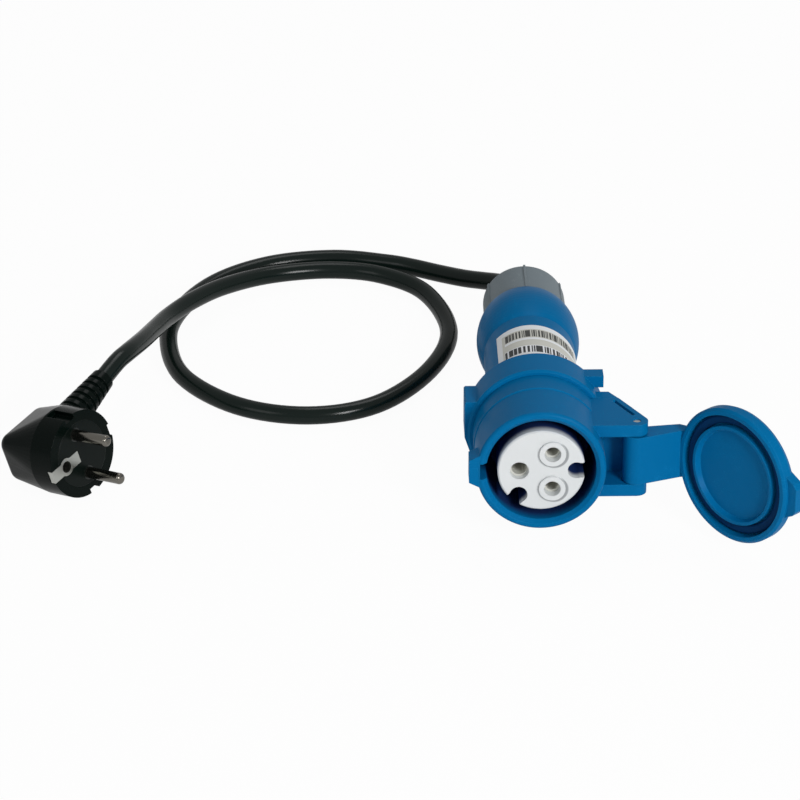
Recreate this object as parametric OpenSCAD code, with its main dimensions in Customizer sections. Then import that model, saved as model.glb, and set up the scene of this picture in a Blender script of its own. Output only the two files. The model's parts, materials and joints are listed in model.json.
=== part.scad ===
// Adapter lead: an angled two-pin earthed plug, a short round cable with one loop, and a
// three-pole 16 A pin and sleeve connector that lies on its side with its sprung lid open.
// Millimetres. X runs to the hinge side, Y away from the mouth, Z up, the floor is at Z = 0.

/* [Socket collar] */
// Outer radius of the collar round the mouth
collar_r = 26.5; // [25.5:0.1:27.5]
// Radius of the bore that takes the mating shroud
bore_r = 22.5; // [21.5:0.1:23]
// Distance from the mouth to the parting line with the rear housing
collar_len = 34.5; // [32.5:0.5:35.5]
// Length of the spigot behind the parting line, which carries the seal
joint_len = 5.5; // [4.5:0.1:7]
// Rounding of the mouth's outer edge and chamfer of its inner edge
rim_round = 1.6; // [0.6:0.1:2]
// Width of the keyway inside the collar
key_w = 7; // [5:0.5:9]
// Depth of the keyway into the collar wall
key_d = 2.6; // [1.5:0.1:3]
// Reach of the keyway boss from the socket axis
key_boss_r = 29.5; // [28.5:0.1:31]

/* [Rear housing] */
// Radius of the shoulder that the two housings share
shoulder_r = 29; // [28.5:0.1:31]
// Distance from the mouth to the back of the shoulder
shoulder_end = 51; // [49:0.5:55]
// Radius of the neck that carries the label
neck_r = 19.6; // [19:0.1:21]
// Radius of the grip bulge behind the neck
bulge_r = 22.2; // [21:0.1:24]
// Distance from the mouth to the start of the grip bulge
bulge_start = 108; // [104:1:112]
// Distance from the mouth to the end of the blue housing
housing_end = 138; // [134:1:142]
// Wall thickness of the rear housing
wall = 2.6; // [2:0.1:3]

/* [Cable gland] */
// Outer radius of the gland nut
nut_r = 18.2; // [17.6:0.1:19]
// Length of the gland nut
nut_len = 26; // [24:0.5:30]
// Outer radius of the threaded spigot inside the nut
spigot_r = 15.2; // [14.5:0.1:15.4]
// Radius of the gland's inner space
gland_bore_r = 11; // [10:0.1:11.5]

/* [Contacts] */
// Radius of the contact insert
insert_r = 17.9; // [17:0.1:18]
// Depth of the insert's face behind the mouth
insert_recess = 1; // [0.5:0.5:3]
// Radius of the circle on which the three contacts stand
contact_circle_r = 9; // [8.5:0.1:9.5]
// Bore radius of the two live sleeves, for 5 mm pins
live_bore_r = 2.55; // [2.5:0.01:2.7]
// Bore radius of the earth sleeve, for a 6 mm pin
earth_bore_r = 3.05; // [3:0.01:3.2]
// Length of each sleeve's bore
contact_depth = 36; // [32:0.5:38]
// Wall of a contact sleeve
sleeve_wall = 1.35; // [1:0.05:1.5]

/* [Hinge and lid] */
// Distance from the socket axis to the hinge axis
hinge_x = 39.4; // [38.5:0.1:42]
// Distance from the mouth back to the hinge axis
hinge_back = 13.5; // [12.5:0.1:15]
// Height of the gap between the two hinge ears
ear_gap = 22; // [20:0.1:23]
// Thickness of one hinge ear
ear_t = 5.2; // [5:0.1:7]
// Radius of the hinge pin
pin_r = 1.6; // [1.4:0.05:1.8]
// Outer radius of the lid
lid_r = 29; // [28.5:0.1:30]
// Depth of the lid from rim to outer face
lid_depth = 7.8; // [7.5:0.1:10]
// Opening of the lid at rest
open_angle = 133; // [110:1:150]

/* [Cable] */
// Diameter of the cable
cable_d = 8; // [7.6:0.1:8.4]

/* [Plug] */
// Radius of the round part of the plug, which enters a wall socket
plug_face_r = 18.6; // [18:0.1:19]
// Length of that round part
plug_face_len = 12; // [11.5:0.1:14]
// Rounding of the corners of the plug's back
plug_back_r = 5.3; // [4.5:0.1:6]
// Radius of a plug pin
plug_pin_r = 2.4; // [2:0.05:2.4]
// Length of a plug pin beyond the face
plug_pin_len = 19; // [18:0.5:19]
// Distance between the two plug pins
plug_pin_pitch = 19; // [17.5:0.5:19]
// Bore radius of the plug's earth socket
plug_earth_r = 2.45; // [2.4:0.01:2.55]
// Direction of the plug pins in plan, from +X
plug_heading = -39.5; // [-45:0.5:-34]

/* [Hidden] */
$fn = 64;
eps = 0.01;

// Colours as seen
blue = [0.0, 0.36, 0.62];
pale = [0.86, 0.88, 0.88];
grey = [0.56, 0.6, 0.62];
black = [0.07, 0.08, 0.08];
brass = [0.78, 0.62, 0.3];
nickel = [0.75, 0.75, 0.73];

// Clearances: faces that only meet, sliding fits and moving fits
seat_gap = 0.05;
pin_gap = 0.02;
knuckle_gap = 0.06;
lid_gap = 0.5;

// Front housing: the spigot that enters the rear housing, and the band behind the collar
joint_r = 25.6;
joint_gap = 0.2;
part_gap = 0.1;
socket_depth = collar_len + joint_len;
band_at = 22.5;
band_rise = 0.4;
seal_section_r = 1;
seal_ring_r = 24.75;
seal_at = (collar_len + socket_depth) / 2;
key_boss_len = 9;
key_boss_w = 10;
key_boss_foot = 16;
key_len = collar_len - 1;

// Insert: its rim is held between the front housing's floor and the rear housing's ledge
floor_t = 3;
insert_gap = 0.1;
flange_t = 2.5;
flange_r = insert_r + 1.3;
block_r = insert_r - 1.6;
block_end = 58;
boss_r = 5.5;
boss_rise = 1.2;
notch_r = 3.6;
notch_circle_r = 14.3;
notch_w = 6.6;
notch_depth = 36;
entry_depth = 3;
entry_gap = 0.8;
sleeve_end = 67;
screw_at = 62.5;
screw_r = 1.5;
screw_proud = 0.8;
screw_slot = 0.8;
core_r = 1.4;
core_circle_r = 1.75;
core_seat = 9;
sheath_end = 122;

// Rear housing: the ledge behind the insert's flange, the hollow neck and the two lugs
ledge_at = socket_depth + flange_t;
shoulder_edge = 0.8;
neck_start = 62;
bulge_mid = (bulge_start + housing_end) / 2;
spigot_len = 14;
lug_len = 7;
lug_h = 5;
lug_x = 27.6;
lug_y = 16.4;
block_x = 30.2;
block_top = 14.2;
block_edge = 0.6;
block_knee = -2;
block_foot = -13;
block_foot_x = 26.5;
block_front = collar_len + 0.9;

// Gland: the nut turns on the spigot and squeezes the seal through the clamp ring
nut_start = housing_end + 0.6;
nut_end = nut_start + nut_len;
nut_mid = (nut_start + nut_end) / 2;
nut_wall_t = 4.5;
seal_start = housing_end + 3;
seal_end = housing_end + spigot_len - 2 * joint_gap;
clamp_start = seal_end + seat_gap;
clamp_end = nut_end - nut_wall_t - 0.2;
rib_count = 6;

// Hinge: ears, web, knuckle and spring
ear_r = 4.6;
ear_slope = -28.5;
ear_foot = 33.2;
ear_rim = 2.2;
ear_groove_w = 1.6;
ear_groove_d = 1.2;
ear_groove_end = 5;
rib_end = 29.4;
rib_len = 5.9;
knuckle_r = 5.4;
cup_r = 4.1;
arm_h = ear_gap - 0.8;
elbow_out = 3.5;
elbow_top = 2.8;
elbow_in = 3.8;
elbow_drop = 7.1;
spring_top = -3.2;
spring_wire_r = 0.5;
spring_r = 3.1;
spring_turns = 5;
spring_start = 150;
spring_leg = 2.6;
web_x = 36;
web_at = 22;
web_len = 5.5;

// Lid: rim, groove for the gasket, and the dished disc inside it
groove_out_r = 26.2;
groove_in_r = 21.3;
groove_floor = 4.5;
gasket_face = 2.8;
lip_z = 1;
lip_r = 19.9;
dish_r = 19;
dish_z = 3.2;
tab_reach = 33;
tab_w = 14;

// The connector leans on its shoulder and on its grip bulge
lean_run = bulge_mid - shoulder_end;
tilt = atan((shoulder_r - bulge_r) / lean_run);
mouth_h = shoulder_end * sin(tilt) + shoulder_r * cos(tilt);

// The plug lies on the lower edge of its round part and is held up a little by the cable
plug_tilt = 12.4;
plug_roll = 9;
plug_h = plug_face_len * sin(plug_tilt) + plug_face_r * cos(plug_tilt);
plug_spot = [-189, 37.4];
plug_back_left = -9.4;
plug_back_right = 9.2;
plug_back_half = 6;
plug_back_at = 29;
relief_at = 20.5;
relief_lean = 8;
relief_turn = 4;
relief_start = 19;
relief_end = 46;
relief_root_r = 7.4;
relief_tip_r = 5;
relief_groove = 0.9;
relief_groove_w = 1.8;
relief_groove_wall = 0.3;
relief_pitch = 4;
relief_ribs = floor((relief_end - relief_start - 3) / relief_pitch);

// Plan centre of the connector with its lid, which is the origin
tab_from_hinge = [-tab_reach - hinge_x, lid_depth + hinge_back];
tab_tip_x = hinge_x + tab_from_hinge[0] * cos(open_angle) + tab_from_hinge[1] * sin(open_angle);
rim_from_hinge = [-tab_reach - hinge_x, 2.5 + hinge_back];
tab_tip_z = -hinge_back - rim_from_hinge[0] * sin(open_angle) + rim_from_hinge[1] * cos(open_angle);
centre_x = (tab_tip_x - block_x) / 2;
centre_y = (nut_end * cos(tilt) + nut_r * sin(tilt) - tab_tip_z * cos(tilt)) / 2;

// Cable route from the gland, round the loop and over itself to the plug, from the mouth's plan point
lie = cable_d / 2 + 0.1;
gland_axis = [0, cos(tilt), -sin(tilt)];
function on_axis(a) = [0, 0, mouth_h] + a * gland_axis;
plug_front = [cos(plug_heading) * cos(plug_tilt), sin(plug_heading) * cos(plug_tilt), sin(plug_tilt)];
plug_flat = [cos(plug_heading + 90), sin(plug_heading + 90), 0];
plug_side = cos(plug_roll) * plug_flat + sin(plug_roll) * cross(plug_front, plug_flat);
plug_up = cos(plug_roll) * cross(plug_front, plug_flat) - sin(plug_roll) * plug_flat;
relief_side = cos(relief_turn) * plug_side + sin(relief_turn) * plug_up;
relief_way = cos(relief_lean) * relief_side - sin(relief_lean) * plug_front;
plug_mid = [plug_spot[0], plug_spot[1], plug_h] - relief_at * plug_front;
function on_relief(d) = plug_mid + d * relief_way;
loop_plan = [
    [-1.5, 176.8], [-4.9, 184.8], [-10, 192], [-16.8, 197.8], [-25.5, 204.4], [-37, 213], [-48, 219.5],
    [-60, 224], [-84, 228.5], [-113, 223.5], [-137.5, 207.5], [-153, 182.5], [-157.5, 157], [-150, 125.5],
    [-126, 101], [-95.5, 92.5], [-66, 101], [-43, 128], [-33, 161.5], [-42.5, 196], [-62.5, 213],
    [-86, 217.5], [-112.5, 211], [-133, 195], [-147, 178], [-157, 160.5], [-162.5, 143], [-166.5, 127.5],
    [-169.5, 117.5], [-173, 108]
];
loop_rise = [
    12.6, 10.3, 7.7, 5.3, 2.9, 0.8, 0.1,
    0, 0, 0, 0, 0, 0, 0,
    0, 0, 0, 0, 0, 0, 0,
    0.2, 1.7, 5.3, 7.9, 10.1, 14.1, 18.3,
    20.9, 22.9
];
exit_run = 4;
relief_run = 12;
cable_points = concat(
    [for (a = [sheath_end, housing_end, nut_mid, nut_end, nut_end + exit_run]) on_axis(a)],
    [for (i = [0 : len(loop_plan) - 1]) [loop_plan[i][0], loop_plan[i][1], lie + loop_rise[i]]],
    [for (d = [relief_end + relief_run, relief_end + joint_gap]) on_relief(d)]
);

// A smooth line through points, and a tube swept along it
function unit(v) = v / norm(v);
function spline_at(p, i, t) =
    let (a = p[max(i - 1, 0)], b = p[i], c = p[i + 1], d = p[min(i + 2, len(p) - 1)])
    0.5 * (2 * b + (c - a) * t + (2 * a - 5 * b + 4 * c - d) * t * t + (3 * b - a - 3 * c + d) * t * t * t);
function spline(p, steps) = concat(
    [for (i = [0 : len(p) - 2], k = [0 : steps - 1]) spline_at(p, i, k / steps)],
    [p[len(p) - 1]]
);
function heading_at(p, i) = unit(p[min(i + 1, len(p) - 1)] - p[max(i - 1, 0)]);
function ring_at(p, i, r, sides, up) =
    let (t = heading_at(p, i), side = unit(cross(t, up)), rise = cross(side, t))
    [for (k = [0 : sides - 1]) p[i] + r * (cos(360 * k / sides) * side + sin(360 * k / sides) * rise)];

module tube(points, r, sides, up) {
    count = len(points);
    corners = [for (i = [0 : count - 1]) each ring_at(points, i, r, sides, up)];
    walls = [
        for (i = [0 : count - 2], k = [0 : sides - 1])
            let (a = i * sides + k, b = i * sides + (k + 1) % sides)
            [a, b, b + sides, a + sides]
    ];
    start_cap = [for (k = [sides - 1 : -1 : 0]) k];
    end_cap = [for (k = [0 : sides - 1]) (count - 1) * sides + k];
    polyhedron(points = corners, faces = concat([start_cap], walls, [end_cap]));
}

// Places: the connector's own frame has +Z out of the mouth, +X to the hinge and +Y up
module on_floor() {
    translate([-centre_x, -centre_y, 0]) children();
}
module connector_place() {
    on_floor() translate([0, 0, mouth_h]) rotate([90 - tilt, 0, 0]) children();
}
module lid_place() {
    connector_place() rotate_about_hinge(open_angle) children();
}
module plug_place() {
    on_floor()
        translate([plug_spot[0], plug_spot[1], plug_h])
            rotate([90 - plug_tilt, 0, 90 + plug_heading]) rotate([0, 0, plug_roll]) children();
}

// An XZ outline made into a plate of that height, centred on the socket axis
module plate(height, middle = 0) {
    translate([0, middle + height / 2, 0]) rotate([90, 0, 0]) linear_extrude(height) children();
}
module hinge_bar(r, low, high) {
    translate([hinge_x, high, -hinge_back]) rotate([90, 0, 0]) cylinder(r = r, h = high - low);
}

// A hole along the hinge for one of the spring's end legs
module spring_hole(low, high) {
    translate([hinge_x + spring_r * cos(spring_start), high, -hinge_back + spring_r * sin(spring_start)])
        rotate([90, 0, 0]) cylinder(r = spring_wire_r + 0.15, h = high - low);
}
module rotate_about_hinge(turn) {
    translate([hinge_x, 0, -hinge_back]) rotate([0, turn, 0]) translate([-hinge_x, 0, hinge_back]) children();
}

// Front housing
module collar_shape() {
    rotate_extrude()
        polygon(concat(
            [[bore_r + rim_round, 0]],
            [for (q = [90 : -15 : 0]) [collar_r, 0] + rim_round * [cos(q) - 1, sin(q) - 1]],
            [
                [collar_r, -band_at], [collar_r + band_rise, -band_at - band_rise],
                [collar_r + band_rise, -collar_len], [joint_r, -collar_len], [joint_r, -socket_depth],
                [insert_r + insert_gap, -socket_depth], [insert_r + insert_gap, -socket_depth + floor_t],
                [bore_r, -socket_depth + floor_t], [bore_r, -rim_round]
            ]
        ));
}
module ear_outline() {
    translate([hinge_x, -hinge_back]) circle(r = ear_r);
    polygon([
        [bore_r - 2, -hinge_back + ear_r], [hinge_x, -hinge_back + ear_r],
        [hinge_x + ear_r * cos(ear_slope), -hinge_back + ear_r * sin(ear_slope)],
        [ear_foot, -collar_len], [bore_r - 2, -collar_len]
    ]);
}
// A groove along the slope in the outer face of each ear
module ear_groove_outline() {
    inward = -[cos(ear_slope), sin(ear_slope)];
    tip = [hinge_x, -hinge_back] - ear_r * inward;
    foot = [ear_foot, -collar_len];
    along = (tip - foot) / norm(tip - foot);
    near = foot + along + ear_rim * inward;
    far = tip - ear_groove_end * along + ear_rim * inward;
    polygon([near, far, far + ear_groove_w * inward, near + ear_groove_w * inward]);
}
module web_outline() {
    polygon([
        [bore_r - 2, -web_at], [web_x - 1, -web_at], [web_x, -web_at - 1],
        [web_x, -web_at - web_len], [ear_foot - 0.2, -collar_len], [bore_r - 2, -collar_len]
    ]);
}
module front_housing() {
    color(blue) connector_place() difference() {
        union() {
            collar_shape();
            for (side = [-1, 1]) plate(ear_t, side * (ear_gap + ear_t) / 2) ear_outline();
            plate(ear_gap + ear_t) web_outline();
            translate([0, 0, -key_boss_len]) linear_extrude(key_boss_len - 0.3)
                polygon([
                    [-bore_r - 1, -key_boss_foot / 2], [-bore_r - 1, key_boss_foot / 2],
                    [-key_boss_r, key_boss_w / 2], [-key_boss_r, -key_boss_w / 2]
                ]);
        }
        translate([0, 0, -socket_depth + floor_t]) cylinder(r = bore_r, h = socket_depth);
        translate([-bore_r - key_d, -key_w / 2, -key_len]) cube([bore_r, key_w, key_len + 1]);
        rotate_extrude() translate([seal_ring_r, -seal_at]) circle(r = seal_section_r + seat_gap);
        hinge_bar(pin_r + pin_gap, -ear_gap, ear_gap);
        for (side = [-1, 1]) plate(2 * ear_groove_d, side * (ear_gap / 2 + ear_t)) ear_groove_outline();
        spring_hole(-ear_gap / 2 - spring_leg - 0.5, 0);
    }
}
module housing_seal() {
    color(black) connector_place()
        rotate_extrude() translate([seal_ring_r, -seal_at]) circle(r = seal_section_r);
}

// Rear housing
function bulge_at(a) =
    neck_r + (bulge_r - neck_r) * pow(sin(180 * (a - bulge_start) / (housing_end - bulge_start)), 0.8);
module housing_outline() {
    polygon(concat(
        [[0, -collar_len - part_gap], [shoulder_r - shoulder_edge, -collar_len - part_gap]],
        [[shoulder_r, -collar_len - part_gap - shoulder_edge], [shoulder_r, -shoulder_end]],
        [for (q = [0 : 15 : 75]) [
            neck_r + (shoulder_r - 1 - neck_r) * (1 - sin(q)),
            -shoulder_end - 1 - (neck_start - shoulder_end - 1) * (1 - cos(q))
        ]],
        [[neck_r, -neck_start]],
        [for (a = [bulge_start : 2.5 : housing_end]) [bulge_at(a), -a]],
        [[spigot_r, -housing_end], [spigot_r, -housing_end - spigot_len], [0, -housing_end - spigot_len]]
    ));
}
module hollow_outline() {
    polygon([
        [0, -collar_len + 1], [joint_r + joint_gap, -collar_len + 1],
        [joint_r + joint_gap, -socket_depth - seat_gap], [flange_r + joint_gap, -socket_depth - seat_gap],
        [flange_r + joint_gap, -ledge_at], [block_r + joint_gap, -ledge_at],
        [block_r + joint_gap, -ledge_at - wall],
        [shoulder_r - 2 * wall, -ledge_at - wall], [shoulder_r - 2 * wall, -shoulder_end + wall / 2],
        [neck_r - wall, -neck_start + 2],
        [neck_r - wall, -bulge_start - 4], [gland_bore_r, -housing_end + 4],
        [gland_bore_r, -housing_end - spigot_len - 1], [0, -housing_end - spigot_len - 1]
    ]);
}
// The ears' slope runs on over the shoulder as two ribs
module rib_outline() {
    polygon([
        [neck_r, -collar_len - part_gap], [ear_foot - 0.2, -collar_len - part_gap],
        [rib_end, -collar_len - rib_len], [neck_r, -collar_len - rib_len]
    ]);
}
module rear_housing() {
    color(blue) connector_place() difference() {
        union() {
            rotate_extrude() housing_outline();
            translate([neck_r - wall, lug_y, -shoulder_end]) cube([lug_x - neck_r + wall, lug_h, lug_len]);
            translate([0, 0, -shoulder_end]) linear_extrude(shoulder_end - block_front)
                polygon([
                    [-neck_r, block_foot], [-block_foot_x, block_foot], [-block_x, block_knee],
                    [-block_x, block_top - block_edge], [-block_x + block_edge, block_top],
                    [-neck_r, block_top]
                ]);
            for (side = [-1, 1]) plate(ear_t, side * (ear_gap + ear_t) / 2) rib_outline();
        }
        rotate_extrude() hollow_outline();
    }
}

// Contacts: earth towards the keyway, phase above and neutral below
function contact_spot(angle) = [contact_circle_r * cos(angle), contact_circle_r * sin(angle), 0];
EARTH_ANGLE = 180;
PHASE_ANGLE = 60;
NEUTRAL_ANGLE = -60;
contact_list = [
    [EARTH_ANGLE, earth_bore_r], [PHASE_ANGLE, live_bore_r], [NEUTRAL_ANGLE, live_bore_r]
];
sleeve_front = insert_recess + entry_depth;
module contact_insert() {
    color(pale) connector_place() difference() {
        union() {
            translate([0, 0, -block_end]) cylinder(r = block_r, h = block_end - insert_recess - 1);
            translate([0, 0, -ledge_at + seat_gap]) cylinder(r = flange_r, h = flange_t - 2 * seat_gap);
            translate([0, 0, -ledge_at + 1]) cylinder(r = insert_r, h = ledge_at - insert_recess - 1.6);
            translate([0, 0, -insert_recess - 0.6]) cylinder(r1 = insert_r, r2 = insert_r - 0.6, h = 0.6);
            for (angle = [PHASE_ANGLE, NEUTRAL_ANGLE])
                translate(contact_spot(angle) - [0, 0, insert_recess + 1])
                    cylinder(r = boss_r, h = boss_rise + 1);
        }
        for (contact = contact_list) translate(contact_spot(contact[0])) {
            translate([0, 0, -block_end - 1])
                cylinder(r = contact[1] + sleeve_wall + seat_gap, h = block_end + 1 - sleeve_front);
            translate([0, 0, -sleeve_front - eps]) cylinder(r = contact[1] + entry_gap, h = sleeve_front + 2);
        }
        for (angle = [0, 230]) rotate([0, 0, angle]) {
            translate([notch_circle_r, 0, -notch_depth]) cylinder(r = notch_r, h = notch_depth + 2);
            translate([notch_circle_r, -notch_w / 2, -notch_depth])
                cube([insert_r, notch_w, notch_depth + 2]);
        }
    }
}
module sleeve(angle, bore) {
    color(brass) connector_place() translate(contact_spot(angle)) difference() {
        translate([0, 0, -sleeve_end])
            cylinder(r = bore + sleeve_wall, h = sleeve_end - sleeve_front - seat_gap);
        translate([0, 0, -sleeve_front - contact_depth]) cylinder(r = bore, h = contact_depth + 1);
        translate([0, 0, -sleeve_end - 1]) cylinder(r = core_r + 0.1, h = core_seat + 1);
        translate([0, 0, -screw_at]) rotate([0, 90, angle])
            cylinder(r = screw_r + pin_gap, h = bore + sleeve_wall + 1);
    }
}
module phase_sleeve() { sleeve(PHASE_ANGLE, live_bore_r); }
module neutral_sleeve() { sleeve(NEUTRAL_ANGLE, live_bore_r); }
module earth_sleeve() { sleeve(EARTH_ANGLE, earth_bore_r); }
module terminal_screws() {
    color(nickel) connector_place()
        for (contact = contact_list)
            let (foot = core_r + 0.2, top = contact[1] + sleeve_wall + screw_proud)
            translate(contact_spot(contact[0]) - [0, 0, screw_at]) rotate([0, 90, contact[0]]) difference() {
                translate([0, 0, foot]) cylinder(r = screw_r, h = top - foot);
                translate([-screw_r - 1, -screw_slot / 2, top - screw_slot])
                    cube([2 * screw_r + 2, screw_slot, screw_slot + 1]);
            }
}

// Three cores fan out from the cable's sheath to the terminals
module core(angle, tone) {
    far = contact_spot(angle);
    near = [core_circle_r * cos(angle), core_circle_r * sin(angle), 0];
    points = [
        for (k = [0 : 10])
            let (s = k / 10, ease = s * s * (3 - 2 * s))
            near + (far - near) * ease - [0, 0, sheath_end - 0.1 - (sheath_end - 0.1 - sleeve_end + 3) * s]
    ];
    color(tone) connector_place() tube(points, core_r, 8, [0, 1, 0]);
}
module phase_core() { core(PHASE_ANGLE, [0.4, 0.22, 0.1]); }
module neutral_core() { core(NEUTRAL_ANGLE, [0.1, 0.3, 0.7]); }
module earth_core() { core(EARTH_ANGLE, [0.45, 0.6, 0.1]); }

// Gland
module gland_nut() {
    color(grey) connector_place() difference() {
        union() {
            rotate_extrude()
                polygon([
                    [0, -nut_start], [nut_r - 0.6, -nut_start], [nut_r, -nut_start - 0.6],
                    [nut_r - 0.2, -nut_end + 2], [nut_r - 1.2, -nut_end], [0, -nut_end]
                ]);
            for (k = [0 : rib_count - 1]) rotate([0, 0, 90 + 360 * k / rib_count])
                translate([nut_r - 1.6, -0.5, -nut_end + 1.6]) cube([1.9, 1, nut_len - 4]);
        }
        rotate_extrude()
            polygon([
                [0, -nut_start + 1], [spigot_r + 0.3, -nut_start + 1],
                [spigot_r + 0.3, -housing_end - spigot_len - 0.5],
                [gland_bore_r, -housing_end - spigot_len - 1.5],
                [gland_bore_r, -nut_end + nut_wall_t], [cable_d / 2 + 0.6, -nut_end + nut_wall_t],
                [cable_d / 2 + 0.6, -nut_end - 1], [0, -nut_end - 1]
            ]);
    }
}
module gland_seal() {
    color(black) connector_place() difference() {
        translate([0, 0, -seal_end]) cylinder(r = gland_bore_r - seat_gap, h = seal_end - seal_start);
        translate([0, 0, -seal_end - 1]) cylinder(r = cable_d / 2 + seat_gap, h = seal_end - seal_start + 2);
    }
}
module clamp_ring() {
    color(pale) connector_place() difference() {
        translate([0, 0, -clamp_end]) cylinder(r = gland_bore_r - 0.4, h = clamp_end - clamp_start);
        translate([0, 0, -clamp_end - 1]) cylinder(r = cable_d / 2 + 0.4, h = clamp_end - clamp_start + 2);
        for (k = [0 : 5]) rotate([0, 0, 30 + 60 * k])
            translate([0, -0.5, -clamp_end - 1]) cube([gland_bore_r, 1, clamp_end - clamp_start - 1]);
    }
}

// Hinge pin, lid, gasket and spring
module hinge_pin() {
    half = ear_gap / 2 + ear_t - 0.4;
    color(nickel) connector_place() hinge_bar(pin_r, -half, half);
}
module lid_shape() {
    rotate_extrude()
        polygon([
            [0, dish_z], [dish_r, dish_z], [lip_r, lip_z], [groove_in_r, lip_z], [groove_in_r, groove_floor],
            [groove_out_r, groove_floor], [groove_out_r, lid_gap], [lid_r - 1, lid_gap], [lid_r, lid_gap + 1],
            [lid_r, lid_depth - 2.4], [lid_r - 0.8, lid_depth - 0.8], [lid_r - 2.6, lid_depth], [0, lid_depth]
        ]);
    translate([0, 0, 2.5]) linear_extrude(lid_depth - 3.3)
        polygon([
            [-lid_r + 3, -tab_w / 2 - 3], [-lid_r + 3, tab_w / 2 + 3], [-tab_reach + 1.5, tab_w / 2],
            [-tab_reach, tab_w / 2 - 2], [-tab_reach, -tab_w / 2 + 2], [-tab_reach + 1.5, -tab_w / 2]
        ]);
}
module arm_outline() {
    translate([hinge_x, -hinge_back]) circle(r = knuckle_r);
    polygon([
        [hinge_x + knuckle_r * cos(202), -hinge_back + knuckle_r * sin(202)], [collar_r + 1.2, lid_gap + 0.4],
        [groove_out_r + 0.4, 2.4], [groove_out_r + 0.4, lid_depth - 0.8],
        [lid_r + elbow_out, lid_depth - elbow_top],
        [hinge_x - elbow_in, lid_depth - elbow_drop],
        [hinge_x + knuckle_r * cos(12), -hinge_back + knuckle_r * sin(12)]
    ]);
}
module lid() {
    color(blue) lid_place() difference() {
        union() {
            lid_shape();
            plate(arm_h) arm_outline();
        }
        hinge_bar(pin_r + knuckle_gap, -ear_gap, ear_gap);
        hinge_bar(cup_r, -ear_gap, spring_top);
        rotate_about_hinge(-open_angle) spring_hole(spring_top - 1, spring_top + spring_leg + 0.5);
    }
}
module lid_gasket() {
    color(black) lid_place()
        rotate_extrude()
            polygon([
                [groove_in_r + 0.5, groove_floor - seat_gap], [groove_out_r - 0.5, groove_floor - seat_gap],
                [groove_out_r - 0.7, gasket_face + 0.4], [groove_out_r - 1.4, gasket_face],
                [groove_in_r + 1.4, gasket_face], [groove_in_r + 0.7, gasket_face + 0.4]
            ]);
}
module lid_spring() {
    low = -ear_gap / 2 + 0.4 + spring_wire_r;
    high = spring_top - spring_wire_r - 0.2;
    steps = 18;
    count = steps * spring_turns;
    coil = [
        for (k = [0 : count])
            let (q = spring_start - 360 * k / steps)
            [hinge_x + spring_r * cos(q), low + (high - low) * k / count, -hinge_back + spring_r * sin(q)]
    ];
    color(nickel) connector_place() union() {
        tube(coil, spring_wire_r, 8, [0, 1, 0]);
        translate(coil[0]) rotate([90, 0, 0]) cylinder(r = spring_wire_r, h = spring_leg, $fn = 12);
        translate(coil[count]) rotate([-90, 0, 0]) cylinder(r = spring_wire_r, h = spring_leg, $fn = 12);
    }
}

// Cable
module cable() {
    color(black) on_floor() tube(spline(cable_points, 3), cable_d / 2, 10, [0, 0, 1]);
}

// Plug: its own frame has +Z along the pins, +X along the cable and +Y up
strap_w = 5.4;
strap_t = 0.9;
strap_x = 18.4;
strap_len = 11;
strap_gap = 0.1;
plate_end = -2;
plate_lip = 2.4;
earth_x = -10;
earth_wall = 0.8;
earth_ring_r = 3.8;
bridge_r = 14;
bridge_t = 9.5;
guide_w = 5;
guide_d = 2.2;
plug_root_r = plug_pin_r + 0.6;
plug_root_len = bridge_t - 2 * seat_gap;
plug_tip_round = 1.4;
function relief_r(at) =
    relief_root_r - (relief_root_r - relief_tip_r) * (at - relief_start) / (relief_end - relief_start);
module relief_place() {
    translate([0, 0, -relief_at]) rotate([0, 0, relief_turn]) rotate([0, 90 + relief_lean, 0]) children();
}
module relief_outline() {
    polygon(concat(
        [[0, relief_start / 2], [relief_root_r, relief_start / 2], [relief_root_r, relief_start]],
        [
            for (k = [0 : relief_ribs - 1])
                let (at = relief_start + 1 + relief_pitch * k, out = at + relief_groove_w)
                each [
                    [relief_r(at), at],
                    [relief_r(at) - relief_groove, at + relief_groove_wall],
                    [relief_r(out) - relief_groove, out - relief_groove_wall],
                    [relief_r(out), out]
                ]
        ],
        [[relief_tip_r, relief_end], [0, relief_end]]
    ));
}
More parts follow.
